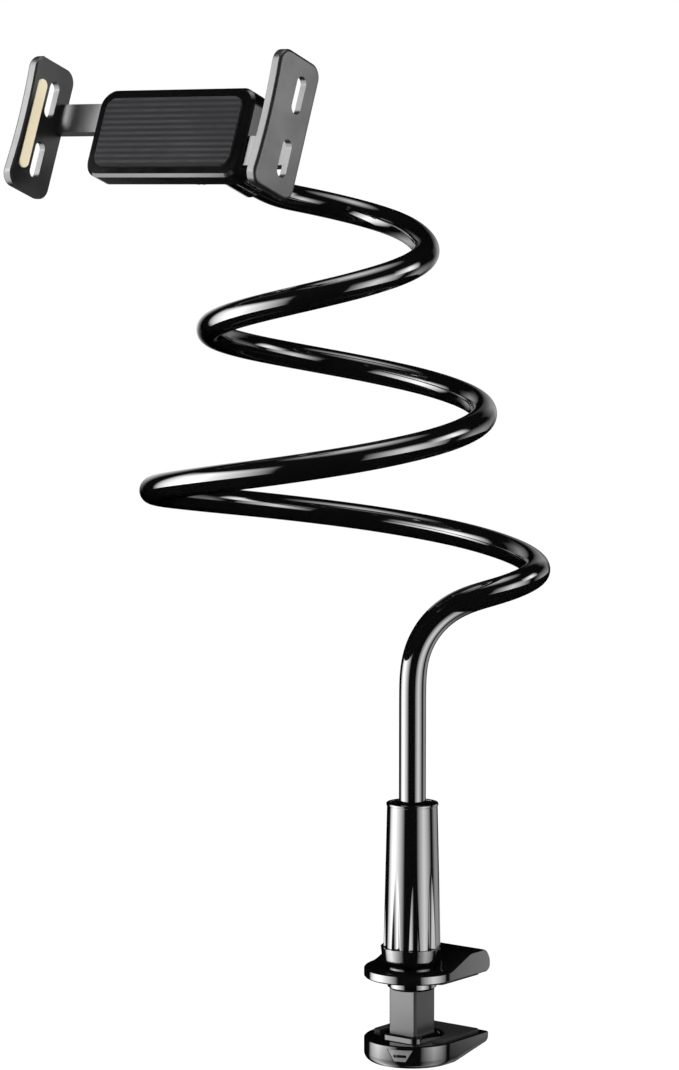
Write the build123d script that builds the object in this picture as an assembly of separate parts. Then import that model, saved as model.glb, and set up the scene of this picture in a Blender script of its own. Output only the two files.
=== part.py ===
"""Gooseneck tablet holder that clamps to a table edge.

Millimetres, +Z up. The origin is on the clamp post's axis, in the plane of the table top
that the upper jaw's pad lies on. +Y points from the post over the table.
"""

import os
from math import cos, radians, sin, tan

from build123d import *

# Driving dimensions: gooseneck
hose_diameter = 13.4
stem_bend_height = 184.0
stem_bend_radius = 40.0
coil_axis_x = -50.0
coil_axis_y = -1.0
coil_heading = 38.0
coil_top_radius = 47.0
coil_radius_growth = 28.8
coil_top_height = 363.5
coil_pitch = 81.0
coil_turns = 2.0
coil_step = 30.0
lead_out_radii = (50.0, 58.0, 54.0)
lead_in_drop = 5.0
neck_straight = 60.0

# Driving dimensions: table clamp
table_gap = 28.0
jaw_width = 48.0
jaw_reach = 34.0
jaw_plate_thickness = 5.0
jaw_hump_height = 12.0
jaw_hump_start = 0.0
jaw_hump_rise = 17.0
jaw_hump_rounds = (14.0, 10.0, 7.5, 3.5)
jaw_rim_bevel = 0.7
lower_jaw_depth = 12.0
lower_jaw_rise = 5.5
lower_jaw_setback = 2.0
lower_jaw_flat = 6.8
lower_jaw_round = 4.5
lower_jaw_bevel = 0.6
pad_proud = 1.2
pad_recess = 0.8
pad_margin = 2.5
pad_leg = 5.0
pad_corner = 3.0
post_square = 17.0
post_round_diameter = 22.4
post_top_height = 77.0
post_foot_depth = 7.0
neck_seat_depth = 30.0
boss_diameter = 24.6
boss_drop = 6.0
boss_bevel = 1.2
collar_height = 10.2
collar_rim_diameter = 31.4
collar_base_diameter = 25.6
collar_taper = 0.8
collar_foot = 4.0
collar_neck = 0.5
collar_nest = 2.0
washer_thickness = 1.0
foot_flange = 22.5
foot_flange_height = 2.2
foot_flange_corner = 4.0
foot_flange_bevel = 1.0
post_screw_radius = 2.5
post_screw_grip = 14.0
post_screw_head = 5.0
post_screw_head_height = 3.0
post_screw_head_bevel = 0.8
post_screw_head_sink = 0.5
post_screw_spare = 1.0
post_screw_cross_length = 6.0
post_screw_cross_width = 1.2
post_screw_cross_depth = 1.5
set_screw_radius = 2.0
set_screw_rise = 12.0
set_screw_bite = 0.8
set_screw_sink = 0.4
set_screw_key_radius = 1.1
set_screw_key_depth = 2.0
insert_top = 13.4
insert_foot = 6.4
insert_height = 6.2
insert_depth = 1.4
insert_drop = 1.8
insert_sink = 0.3
insert_gap = 0.2
insert_slot_width = 6.6
insert_slot_height = 1.5
insert_slot_drop = 3.41
insert_slot_corner = 0.5
insert_turn = 22.0

# Driving dimensions: tightening sleeve
sleeve_height = 74.6
sleeve_top_diameter = 25.2
sleeve_foot_diameter = 28.6
sleeve_rim_height = 1.4
sleeve_rim_proud = 0.35
sleeve_nut_length = 30.0
flute_count = 9
flute_turn = 31.0
flute_depth = 1.15
flute_width = 5.4
flute_start = 0.54

# Driving dimensions: ball joint
ball_x = -101.0
ball_y = -39.5
ball_height = 410.5
holder_tilt = 20.4
ball_diameter = 17.0
ball_neck_diameter = 8.0
stud_flange_diameter = 14.0
stud_flange_thickness = 4.0
stud_flats = 12.0
stud_shank_diameter = 6.0
stud_reach = 20.0
end_cap_wall = 1.6
end_cap_floor = 4.5
end_cap_length = 22.0
end_cap_bevel = 1.0
end_cap_rim_bevel = 0.6
socket_wall = 3.0
socket_wrap = 4.0
socket_floor = 1.5
socket_mouth_bite = 0.9
socket_mouth_depth = 1.0
ring_wall = 4.0
ring_lip = 2.0
ring_lip_bite = 0.5
ring_lip_edge = 0.8
ring_bevel = 2.0
ring_gap = 1.0
ring_groove_radius = 1.5
ring_groove_offset = 0.6
ring_rib_count = 16
collet_slit_count = 4
collet_slit_width = 1.2
collet_slit_depth = 7.0
collet_shoulder = 1.5
collet_foot_flare = 5.0

# Driving dimensions: tablet holder
device_opening = 156.0
device_plane = 30.0
jaw_travel = 25.0
side_jaw_height = 69.0
side_jaw_depth = 32.0
side_jaw_front = 23.0
side_jaw_wall = 3.5
side_jaw_corner = 7.0
side_jaw_round = 1.6
side_jaw_hollow = 2.0
side_jaw_lip = 2.4
side_jaw_lip_depth = 3.5
side_jaw_lip_bevel = 0.8
slot_width = 7.0
slot_length = 19.0
slot_spacing = 32.0
slot_from_front = 19.5
strip_length = 47.0
strip_width = 7.0
strip_thickness = 1.4
strip_from_front = 10.0
strip_recess = 0.6
bar_height = 15.0
bar_thickness = 6.0
bar_rib = 3.0
housing_width = 100.0
housing_height = 46.0
housing_corner = 9.0
front_cover_depth = 8.5
front_cover_bevel = 1.5
rear_cover_depth = 5.0
rear_cover_bevel = 2.0
housing_wall = 3.0
front_pad_thickness = 2.0
front_pad_recess = 0.5
front_pad_side = 6.0
front_pad_edge = 5.0
front_pad_corner = 6.0
cover_screw_diameter = 2.6
cover_screw_head = 4.4
cover_screw_head_height = 1.5
cover_screw_sink = 2.0
cover_screw_grip = 5.0
bar_inner_end = -5.0
spring_radius = 2.6
spring_wire = 0.7

# Clearances
running_clearance = 0.05
slide_clearance = 0.15
loose_clearance = 0.3
seat_clearance = 0.05

# Allowances: a joined piece reaches into its carrier, a cutter runs past the face that it opens,
# and edges are picked by their place
overlap = 1.0
overshoot = 1.0
pick_margin = 0.5
pick_tolerance = 0.1

# Derived: clamp
jaw_radius = jaw_width / 2
plate_under = pad_proud
plate_top = plate_under + jaw_plate_thickness
collar_top = plate_top + collar_height
sleeve_base = collar_top - collar_nest
sleeve_top = sleeve_base + sleeve_height
washer_base = sleeve_base - washer_thickness
lower_top = -table_gap - pad_proud
lower_base = lower_top - lower_jaw_depth
post_base = lower_top - post_foot_depth
post_radius = post_round_diameter / 2
nut_bore = post_radius + running_clearance
sleeve_cavity = post_radius + loose_clearance
neck_seat = post_top_height - neck_seat_depth
hose_radius = hose_diameter / 2
set_screw_height = neck_seat + set_screw_rise
screw_head_top = lower_base + post_screw_head_height + post_screw_head_sink
lower_pad_hole = foot_flange / 2 * 2**0.5 + loose_clearance

# Derived: holder frame, with its Y axis pointing back along the ball's stud
tilt = radians(holder_tilt)
holder_plane = Plane(
    origin=(ball_x, ball_y, ball_height), x_dir=(1, 0, 0), z_dir=(0, sin(tilt), cos(tilt))
)
back = Vector(0, cos(tilt), -sin(tilt))
ball_centre = Vector(ball_x, ball_y, ball_height)
ball_radius = ball_diameter / 2
collet_radius = ball_radius + socket_wall
socket_back = -(ball_radius + socket_floor)
front_face = -device_plane
cover_front = front_face + front_pad_thickness - front_pad_recess
front_pad_width = housing_width - 2 * front_pad_side
front_pad_height = housing_height - 2 * front_pad_edge
cover_split = cover_front + front_cover_depth
rear_face = cover_split + rear_cover_depth
hose_end = stud_reach + end_cap_floor
ring_low = socket_back + ring_gap
ring_high = socket_wrap + ring_lip
collet_back = socket_wrap - loose_clearance
jaw_inner = device_opening / 2
jaw_front = front_face - side_jaw_front
bar_y = cover_split - slide_clearance - bar_thickness / 2
bar_z = -(bar_rib + bar_height) / 2


def square_prism(side, round_diameter, low, high):
    """A square bar about Z whose corners are turned down to a round."""
    bar = extrude(Pos(0, 0, low) * Rectangle(side, side), high - low)
    turned = extrude(Pos(0, 0, low) * Circle(round_diameter / 2), high - low)
    return bar & turned


def jaw_plan(width, reach):
    """Plan of a clamp jaw: a half-round nose about the post and straight sides."""
    nose = Circle(width / 2)
    body = Pos(0, reach / 2) * Rectangle(width, reach)
    return nose + body


def horseshoe_plan(hole_radius):
    """Plan of a table pad that goes round the post on three sides."""
    width = jaw_width - 2 * pad_margin
    reach = jaw_reach - 2 * pad_margin
    outline = Pos(0, (reach - pad_leg) / 2) * RectangleRounded(width, reach + pad_leg, pad_corner)
    gate = Pos(0, -pad_leg) * Rectangle(2 * hole_radius, 2 * pad_leg)
    return outline - Circle(hole_radius) - gate


def rounded_slab(width, height, corner, front, depth):
    """A slab with rounded corners in the holder frame, from front towards the back."""
    face = Plane.XZ * RectangleRounded(width, height, corner)
    return Pos(0, front, 0) * extrude(face, -depth)


def about_stud(profile):
    """Turn a profile drawn as (radius, distance along the stud) about the stud's axis."""
    return revolve(profile, Axis.Y)


def fillet_path(points, fraction=0.48, given=None):
    """Straight runs through the points, joined by arcs as wide as the runs allow."""
    given = given or {}
    radii = []
    for i in range(1, len(points) - 1):
        before = points[i - 1] - points[i]
        after = points[i + 1] - points[i]
        turn = radians(180 - before.get_angle(after))
        widest = fraction * min(before.length, after.length) / tan(turn / 2)
        radii.append(min(widest, given.get(i, widest)))
    return FilletPolyline(*points, radius=radii)


def coil_point(angle, radius):
    """Corner of the coil's path; the angle runs down the coil from its upper end."""
    heading = radians(coil_heading - angle)
    reach = radius / cos(radians(coil_step / 2))
    height = coil_top_height - coil_pitch * angle / 360
    return Vector(coil_axis_x + reach * cos(heading), coil_axis_y + reach * sin(heading), height)


def gooseneck_points():
    """Corners of the gooseneck's path, from the post to the ball's end cap."""
    last = 360 * coil_turns - coil_step / 2
    points = [Vector(0, 0, neck_seat), Vector(0, 0, stem_bend_height)]
    angles = []
    angle = last
    while angle > -coil_step:
        angles.append(angle)
        angle -= coil_step
    corners = [coil_point(a, coil_top_radius + coil_radius_growth * a / 360) for a in angles]
    # the lowest turn leaves the coil sideways, level with the stem, and then drops into it
    side = Vector(cos(radians(coil_heading)), sin(radians(coil_heading)), 0)
    reach = corners[0].dot(side)
    points.append(side * reach + Vector(0, 0, corners[0].Z - lead_in_drop))
    points += corners
    for i, radius in enumerate(lead_out_radii):
        points.append(coil_point(-(i + 1.5) * coil_step, radius))
    points.append(ball_centre + back * neck_straight)
    points.append(ball_centre + back * hose_end)
    return points


def make_gooseneck():
    """Bendable rod in its hose, swept along the coil as one solid."""
    path = fillet_path(gooseneck_points(), given={1: stem_bend_radius})
    section = Plane(origin=path @ 0, z_dir=path % 0) * Circle(hose_radius)
    return sweep(section, path=path)


def make_upper_jaw():
    """Upper jaw: round-nosed plate that swells over the table, with the sleeve's collar."""
    hump = plate_under + jaw_hump_height
    ramp_end = jaw_hump_start + jaw_hump_rise
    side = FilletPolyline(
        (-jaw_width, plate_top),
        (jaw_hump_start, plate_top),
        (ramp_end, hump),
        (jaw_reach, hump),
        (jaw_reach, plate_under),
        (-jaw_width, plate_under),
        radius=list(jaw_hump_rounds),
    )
    outline = side + Line((-jaw_width, plate_under), (-jaw_width, plate_top))
    profile = make_face(Plane.YZ * outline)
    plate = extrude(profile, jaw_width, both=True)
    plan = extrude(Pos(0, 0, plate_under) * jaw_plan(jaw_width, jaw_reach), hump)
    jaw = plate & plan
    rim = [e for e in jaw.edges() if e.bounding_box().min.Z > plate_under + pick_margin]
    rim = [e for e in rim if abs(e.center().X) > pick_margin or e.length < jaw_width - 2 * pick_margin]
    outer = [
        e for e in rim if abs(abs(e.center().X) - jaw_radius) < pick_tolerance or e.center().Y < 0
    ]
    jaw = chamfer(outer, jaw_rim_bevel)
    base = collar_base_diameter / 2
    rim_out = collar_rim_diameter / 2
    wall_foot = (rim_out - collar_taper, plate_top + collar_foot)
    root = plate_under + overlap
    neck = (base, plate_top + collar_neck)
    collar = Polyline((0, root), (base, root), neck)
    curl = (rim_out - 2 * collar_taper, plate_top + collar_foot / 2)
    bowl = ThreePointArc(neck, curl, wall_foot)
    cap = Polyline(wall_foot, (rim_out, collar_top), (0, collar_top), (0, root))
    jaw += revolve(make_face(Plane.XZ * (collar + bowl + cap)), Axis.Z)
    boss = Pos(0, 0, plate_under - boss_drop / 2) * Cylinder(boss_diameter / 2, boss_drop)
    jaw += chamfer(boss.faces().sort_by(Axis.Z)[0].edges(), boss_bevel)
    cup_radius = sleeve_foot_diameter / 2 + loose_clearance
    cup = Pos(0, 0, (washer_base + collar_top) / 2) * Cylinder(cup_radius, collar_top - washer_base)
    hole_side = post_square + 2 * slide_clearance
    hole_round = post_round_diameter + 2 * slide_clearance
    hole = square_prism(hole_side, hole_round, plate_under - 2 * boss_drop, collar_top)
    seat = extrude(Pos(0, 0, plate_under) * horseshoe_plan(boss_diameter / 2), pad_recess)
    return jaw - cup - hole - seat


def make_upper_pad():
    """Soft pad under the upper jaw; its lower face is the table plane."""
    plan = horseshoe_plan(boss_diameter / 2 + loose_clearance)
    return extrude(plan, pad_proud + pad_recess)


def make_washer():
    """Thrust washer between the sleeve and the collar."""
    inner = post_radius + loose_clearance
    outer = sleeve_foot_diameter / 2 - loose_clearance
    ring = Circle(outer) - Circle(inner)
    return extrude(Pos(0, 0, washer_base) * ring, washer_thickness)


def make_sleeve():
    """Hand sleeve: tapered outside with pointed flutes, nut inside, open at its top."""
    top = sleeve_top_diameter / 2
    foot = sleeve_foot_diameter / 2
    rim_low = sleeve_top - sleeve_rim_height
    nut_top = sleeve_base + sleeve_nut_length
    profile = Polyline(
        (foot, sleeve_base),
        (top, rim_low),
        (top + sleeve_rim_proud, rim_low),
        (top + sleeve_rim_proud, sleeve_top),
        (sleeve_cavity, sleeve_top),
        (sleeve_cavity, nut_top),
        (nut_bore, nut_top),
        (nut_bore, sleeve_base),
        close=True,
    )
    sleeve = revolve(make_face(Plane.XZ * profile), Axis.Z)
    # each flute is a V whose bottom line runs out on the taper at its upper end
    bottom = foot - flute_depth
    run_out = foot + (top - foot) * flute_start
    rise = Vector(run_out - bottom, 0, (rim_low - sleeve_base) * flute_start)
    slope = flute_width / 2 / flute_depth
    wide = 4 * flute_depth
    notch = make_face(Polyline((0, 0), (wide, slope * wide), (wide, -slope * wide), close=True))
    start = Vector(bottom, 0, sleeve_base) - rise * 0.1
    cutter = extrude(Pos(*start) * notch, amount=1.3 * rise.length, dir=rise)
    for i in range(flute_count):
        sleeve -= Rot(0, 0, flute_turn + i * 360 / flute_count) * cutter
    return sleeve


def make_post():
    """Square post, turned at its corners for the thread, with the gooseneck's seat on top."""
    post = square_prism(post_square, post_round_diameter, post_base, post_top_height)
    seat = Pos(0, 0, (neck_seat + post_top_height) / 2)
    post -= seat * Cylinder(hose_radius + seat_clearance, neck_seat_depth)
    screw_hole = Cylinder(post_screw_radius + seat_clearance, 2 * post_screw_grip)
    post -= Pos(0, 0, post_base) * screw_hole
    set_hole = Pos(0, post_square / 2, set_screw_height) * Rot(90, 0, 0)
    post -= set_hole * Cylinder(set_screw_radius + seat_clearance, post_square / 2)
    return post


def make_set_screw():
    """Set screw through the post's wall that bites into the gooseneck."""
    outer = post_square / 2 - set_screw_sink
    inner = hose_radius - set_screw_bite
    length = outer - inner
    screw = Pos(0, (outer + inner) / 2, set_screw_height) * Rot(90, 0, 0)
    body = screw * Cylinder(set_screw_radius, length)
    hexagon = Plane.XZ * RegularPolygon(set_screw_key_radius, 6)
    key = extrude(hexagon, set_screw_key_depth, both=True)
    return body - Pos(0, outer, set_screw_height) * key


def lower_socket_plan(clearance):
    """Square plan of the post's foot with a clearance all round."""
    bar = Rectangle(post_square + 2 * clearance, post_square + 2 * clearance)
    return bar & Circle(post_radius + clearance)


def make_lower_jaw():
    """Lower jaw: D-shaped shoe that thins towards its tip, with the post's socket."""
    plan = jaw_plan(jaw_width, jaw_reach - lower_jaw_setback)
    shoe = extrude(Pos(0, 0, lower_base) * plan, lower_jaw_depth)
    wedge = make_face(
        Plane.YZ
        * Polyline(
            (lower_jaw_flat, lower_base),
            (jaw_reach, lower_base + lower_jaw_rise),
            (jaw_reach, lower_base - lower_jaw_rise),
            (lower_jaw_flat, lower_base - lower_jaw_rise),
            close=True,
        )
    )
    shoe -= extrude(wedge, jaw_width, both=True)
    under = [e for e in shoe.edges() if e.bounding_box().max.Z < lower_top - pick_margin]
    under = [e for e in under if e.bounding_box().size.Z < lower_jaw_rise + pick_tolerance]
    crossing = [e for e in under if abs(e.center().X) < pick_tolerance and e.center().Y > 0]
    shoe = fillet([e for e in under if e not in crossing], lower_jaw_round)
    rim = [e for e in shoe.edges() if e.bounding_box().min.Z > lower_top - pick_tolerance]
    shoe = chamfer(rim, lower_jaw_bevel)
    flange_plan = RectangleRounded(foot_flange, foot_flange, foot_flange_corner)
    flange = extrude(Pos(0, 0, lower_top) * flange_plan, foot_flange_height)
    shoe += chamfer(flange.faces().sort_by(Axis.Z)[-1].edges(), foot_flange_bevel)
    socket_depth = post_foot_depth + 2 * foot_flange_height
    socket = extrude(Pos(0, 0, post_base) * lower_socket_plan(seat_clearance), socket_depth)
    screw_hole = Cylinder(post_screw_radius + slide_clearance, 4 * lower_jaw_depth)
    screw = Pos(0, 0, lower_base) * screw_hole
    head_bore = Cylinder(post_screw_head + loose_clearance, 2 * lower_jaw_depth)
    head = Pos(0, 0, screw_head_top - lower_jaw_depth) * head_bore
    seat_plan = horseshoe_plan(lower_pad_hole - loose_clearance)
    seat = extrude(Pos(0, 0, lower_top - pad_recess) * seat_plan, pad_recess)
    return shoe - socket - screw - head - seat - nose_block(0)


def nose_block(gap):
    """Trapezoid block let into the nose of the lower jaw, smaller by the gap all round."""
    high = lower_top - insert_drop - gap
    low = high - insert_height + 2 * gap
    face = make_face(
        Plane.XZ
        * Polyline(
            (-insert_top / 2 + gap, high),
            (insert_top / 2 - gap, high),
            (insert_foot / 2 - gap, low),
            (-insert_foot / 2 + gap, low),
            close=True,
        )
    )
    prism = extrude(face, jaw_width, dir=(0, -1, 0))
    core = Pos(0, 0, lower_base) * Cylinder(jaw_radius - insert_depth, 4 * lower_jaw_depth)
    return Rot(0, 0, insert_turn) * (prism - core)


def make_nose_insert():
    """Slotted inset in the nose of the lower jaw."""
    skin = Pos(0, 0, lower_base) * Cylinder(jaw_radius - insert_sink, 4 * lower_jaw_depth)
    insert = nose_block(insert_gap) & skin
    slot_height = lower_top - insert_drop - insert_slot_drop
    slot_plan = RectangleRounded(insert_slot_width, insert_slot_height, insert_slot_corner)
    slot = extrude(Plane.XZ * Pos(0, slot_height) * slot_plan, jaw_width, dir=(0, -1, 0))
    return insert - Rot(0, 0, insert_turn) * slot


def make_lower_pad():
    """Soft pad on the lower jaw that presses on the underside of the table."""
    plan = horseshoe_plan(lower_pad_hole)
    return extrude(Pos(0, 0, lower_top - pad_recess) * plan, pad_proud + pad_recess)


def make_post_screw():
    """Screw that draws the lower jaw on to the post's foot."""
    shank_top = post_base + post_screw_grip - post_screw_spare
    shank_length = shank_top - screw_head_top
    head_base = screw_head_top - post_screw_head_height
    shank = Pos(0, 0, screw_head_top + shank_length / 2) * Cylinder(post_screw_radius, shank_length)
    head = Cylinder(post_screw_head, post_screw_head_height)
    head = Pos(0, 0, head_base + post_screw_head_height / 2) * head
    head = chamfer(head.faces().sort_by(Axis.Z)[0].edges(), post_screw_head_bevel)
    blade = Box(post_screw_cross_length, post_screw_cross_width, 2 * post_screw_cross_depth)
    cross = Pos(0, 0, head_base) * (blade + Rot(0, 0, 90) * blade)
    return shank + head - cross


def make_end_cap():
    """Metal end cap on the gooseneck that the ball's shank screws into."""
    outer = hose_radius + end_cap_wall
    low = stud_reach
    high = stud_reach + end_cap_length
    profile = make_face(
        Polyline(
            (stud_shank_diameter / 2 + seat_clearance, low),
            (outer - end_cap_bevel, low),
            (outer, low + end_cap_bevel),
            (outer, high - end_cap_rim_bevel),
            (outer - end_cap_rim_bevel, high),
            (hose_radius + seat_clearance, high),
            (hose_radius + seat_clearance, hose_end),
            (stud_shank_diameter / 2 + seat_clearance, hose_end),
            close=True,
        )
    )
    return about_stud(profile)


def make_ball_stud():
    """Ball, neck, flange and shank in one turned piece."""
    ball = Sphere(ball_radius)
    flange_low = stud_reach - stud_flange_thickness
    shank_high = hose_end - loose_clearance
    profile = make_face(
        Polyline(
            (0, 0),
            (ball_neck_diameter / 2, 0),
            (ball_neck_diameter / 2, flange_low),
            (stud_flange_diameter / 2, flange_low),
            (stud_flange_diameter / 2, stud_reach),
            (stud_shank_diameter / 2, stud_reach),
            (stud_shank_diameter / 2, shank_high),
            (0, shank_high),
            close=True,
        )
    )
    flats = Pos(0, (flange_low + stud_reach) / 2, 0)
    stud = ball + about_stud(profile)
    reach = 2 * stud_flange_diameter
    wrench = Rectangle(reach, reach) - Rectangle(stud_flats, reach)
    return stud - flats * extrude(Plane.XZ * wrench, stud_flange_thickness / 2, both=True)


def make_lock_ring():
    """Ribbed ring nut that squeezes the collet on to the ball."""
    bore = collet_radius + running_clearance
    outer = bore + ring_wall
    lip = ball_radius - ring_lip_bite
    profile = make_face(
        Polyline(
            (bore, ring_low),
            (outer, ring_low),
            (outer, ring_high - ring_bevel),
            (outer - ring_bevel, ring_high),
            (lip, ring_high),
            (lip, ring_high - ring_lip_edge),
            (bore, socket_wrap),
            close=True,
        )
    )
    ring = about_stud(profile)
    length = 2 * (ring_high - ring_low)
    groove = Rot(90, 0, 0) * Cylinder(ring_groove_radius, length)
    groove = Pos(outer + ring_groove_offset, 0, 0) * groove
    for i in range(ring_rib_count):
        ring -= Rot(0, i * 360 / ring_rib_count, 0) * groove
    return ring


def make_rear_cover():
    """Rear half of the housing with the collet that holds the ball."""
    cover = rounded_slab(housing_width, housing_height, housing_corner, cover_split, rear_cover_depth)
    cover = chamfer(cover.faces().sort_by(Axis.Y)[-1].edges(), rear_cover_bevel)
    foot = collet_radius + collet_foot_flare
    root = rear_face - overlap
    stem = make_face(
        Polyline(
            (0, root),
            (foot, root),
            (foot, rear_face),
            (collet_radius + collet_shoulder, socket_back),
            (collet_radius, socket_back),
            (collet_radius, collet_back),
            (0, collet_back),
            close=True,
        )
    )
    cover += about_stud(stem)
    cover -= Sphere(ball_radius + running_clearance)
    mouth = Cylinder(ball_radius - socket_mouth_bite, 2 * socket_mouth_depth)
    cover -= Pos(0, socket_wrap, 0) * Rot(90, 0, 0) * mouth
    slit = Box(2 * collet_radius, collet_slit_depth + overshoot, collet_slit_width)
    slit = Pos(collet_radius, collet_back - (collet_slit_depth - overshoot) / 2, 0) * slit
    for i in range(collet_slit_count):
        cover -= Rot(0, i * 360 / collet_slit_count, 0) * slit
    for place in screw_places():
        through = 2 * (front_cover_depth + rear_cover_depth)
        hole = Rot(90, 0, 0) * Cylinder(cover_screw_diameter / 2 + slide_clearance, through)
        cover -= Pos(place.X, cover_split, place.Z) * hole
        head = Rot(90, 0, 0) * Cylinder(cover_screw_head / 2 + loose_clearance, 2 * cover_screw_sink)
        cover -= Pos(place.X, rear_face, place.Z) * head
    return cover


def screw_places():
    """Axes of the four cover screws, in the holder frame."""
    x = housing_width / 2 - housing_corner
    z = bar_rib / 2 + bar_height + (housing_height / 2 - bar_rib / 2 - bar_height) / 2
    return [Vector(sx * x, 0, sz * z) for sx in (-1, 1) for sz in (-1, 1)]


def bar_track(side):
    """Channel for one jaw's bar, open at that jaw's side of the housing."""
    length = housing_width - housing_wall + 2 * overshoot
    height = bar_height + 2 * slide_clearance
    depth = bar_thickness + 2 * slide_clearance
    centre_z = -side * (bar_rib + bar_height) / 2
    centre_x = side * (housing_wall + 2 * overshoot) / 2
    return Pos(centre_x, cover_split - depth / 2, centre_z) * Box(length, depth, height)


def make_front_cover():
    """Front half of the housing with the two bar channels and the pad's recess."""
    cover = rounded_slab(housing_width, housing_height, housing_corner, cover_front, front_cover_depth)
    cover = chamfer(cover.faces().sort_by(Axis.Y)[0].edges(), front_cover_bevel)
    cover -= bar_track(1)
    cover -= bar_track(-1)
    cover -= rounded_slab(
        front_pad_width,
        front_pad_height,
        front_pad_corner,
        cover_front - overshoot,
        front_pad_recess + overshoot,
    )
    for place in screw_places():
        hole = Cylinder(cover_screw_diameter / 2 + seat_clearance, 2 * cover_screw_grip)
        cover -= Pos(place.X, cover_split, place.Z) * Rot(90, 0, 0) * hole
    return cover


def make_front_pad():
    """Anti-slip pad that the device's back lies on."""
    return rounded_slab(
        front_pad_width - 2 * slide_clearance,
        front_pad_height - 2 * slide_clearance,
        front_pad_corner - slide_clearance,
        front_face,
        front_pad_thickness,
    )


def make_cover_screws():
    """The four screws that join the covers, as one group."""
    seat = rear_face - cover_screw_sink
    tip = cover_split - cover_screw_grip + loose_clearance
    head = Cylinder(cover_screw_head / 2, cover_screw_head_height)
    shank = Cylinder(cover_screw_diameter / 2, seat - tip)
    screw = Pos(0, seat + cover_screw_head_height / 2, 0) * Rot(90, 0, 0) * head
    screw += Pos(0, (seat + tip) / 2, 0) * Rot(90, 0, 0) * shank
    return Compound([Pos(place.X, 0, place.Z) * screw for place in screw_places()])


def jaw_face():
    """Side view of a holder jaw: rounded plate with a hollow front edge."""
    rear = jaw_front + side_jaw_depth
    top = side_jaw_height / 2
    edge = ThreePointArc((jaw_front, top), (jaw_front + side_jaw_hollow, 0), (jaw_front, -top))
    frame = Polyline((jaw_front, -top), (rear, -top), (rear, top), (jaw_front, top))
    face = make_face(edge + frame)
    return fillet(face.vertices(), side_jaw_corner)


def on_side(shape, side):
    """The shape as made for the right side, or turned about the height axis for the left."""
    return shape if side > 0 else Rot(0, 180, 0) * shape


def make_side_jaw(side):
    """One sliding jaw: slotted side plate with a lip in front, and the bar that guides it."""
    plate = Pos(jaw_inner, 0, 0) * extrude(Plane.YZ * jaw_face(), side_jaw_wall)
    plate = fillet(plate.faces().sort_by(Axis.X)[-1].edges(), side_jaw_round)
    lip = extrude(Plane.YZ * jaw_face(), side_jaw_lip + overlap)
    lip = Pos(jaw_inner - side_jaw_lip, 0, 0) * lip
    behind = jaw_front + side_jaw_lip_depth + side_jaw_hollow + side_jaw_depth
    lip -= Pos(jaw_inner, behind, 0) * Box(4 * side_jaw_lip, 2 * side_jaw_depth, 2 * side_jaw_height)
    jaw = plate + chamfer(lip.faces().sort_by(Axis.X)[0].edges(), side_jaw_lip_bevel)
    outline = SlotOverall(slot_length, slot_width, rotation=90)
    slot = extrude(Plane.YZ * outline, 6 * side_jaw_wall, both=True)
    for sign in (-1, 1):
        jaw -= Pos(jaw_inner, jaw_front + slot_from_front, sign * slot_spacing / 2) * slot
    jaw -= Pos(jaw_inner, jaw_front + strip_from_front, 0) * strip_block(strip_recess, 0)
    bar_length = jaw_inner + overlap - bar_inner_end
    bar = Box(bar_length, bar_thickness, bar_height)
    jaw += Pos(bar_inner_end + bar_length / 2, bar_y, bar_z) * bar
    return on_side(jaw, side)


def strip_block(depth, gap):
    """Rounded strip let into the jaw's inner face, centred on that face."""
    outline = SlotOverall(strip_length - 2 * gap, strip_width - 2 * gap, rotation=90)
    return extrude(Plane.YZ * outline, depth)


def make_strip(side):
    """Soft strip on the inner face of a holder jaw."""
    inner = jaw_inner + strip_recess - strip_thickness
    block = strip_block(strip_thickness, slide_clearance)
    return on_side(Pos(inner, jaw_front + strip_from_front, 0) * block, side)


def make_spring(side):
    """Extension spring from a bar's inner end to the far wall, drawn as its plain tube."""
    far_wall = housing_wall - housing_width / 2
    length = bar_inner_end - far_wall
    spring = Cylinder(spring_radius, length) - Cylinder(spring_radius - spring_wire, length)
    spring = Pos(far_wall + length / 2, bar_y, bar_z) * Rot(0, 90, 0) * spring
    return on_side(spring, side)


def main():
    os.makedirs("parts", exist_ok=True)
    gooseneck = make_gooseneck()
    gooseneck -= Pos(0, hose_radius, set_screw_height) * Rot(90, 0, 0) * Cylinder(
        set_screw_radius + seat_clearance, 2 * set_screw_bite
    )
    standing = {
        "upper_jaw": make_upper_jaw(),
        "upper_jaw_pad": make_upper_pad(),
        "thrust_washer": make_washer(),
        "tightening_sleeve": make_sleeve(),
        "clamp_post": make_post(),
        "lower_jaw": make_lower_jaw(),
        "lower_jaw_pad": make_lower_pad(),
        "nose_insert": make_nose_insert(),
        "post_screw": make_post_screw(),
        "neck_set_screw": make_set_screw(),
        "gooseneck_arm": gooseneck,
    }
    held = {
        "neck_end_cap": make_end_cap(),
        "ball_stud": make_ball_stud(),
        "lock_ring": make_lock_ring(),
        "rear_cover": make_rear_cover(),
        "front_cover": make_front_cover(),
        "front_pad": make_front_pad(),
        "left_jaw": make_side_jaw(-1),
        "right_jaw": make_side_jaw(1),
        "left_jaw_strip": make_strip(-1),
        "right_jaw_strip": make_strip(1),
        "left_spring": make_spring(-1),
        "right_spring": make_spring(1),
        "cover_screws": make_cover_screws(),
    }
    for name, shape in standing.items():
        export_step(shape, f"parts/{name}.step")
    for name, shape in held.items():
        export_step(holder_plane.location * shape, f"parts/{name}.step")


main()
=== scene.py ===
"""Looks of the gooseneck holder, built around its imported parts.

Metres, +Z up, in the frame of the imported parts: the origin is on the clamp post's axis, level with
the underside of the upper jaw's pad. Surfaces are worked out with numpy and ride on the bodies that
carry them.
"""

import logging
from dataclasses import dataclass
from enum import Enum

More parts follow.
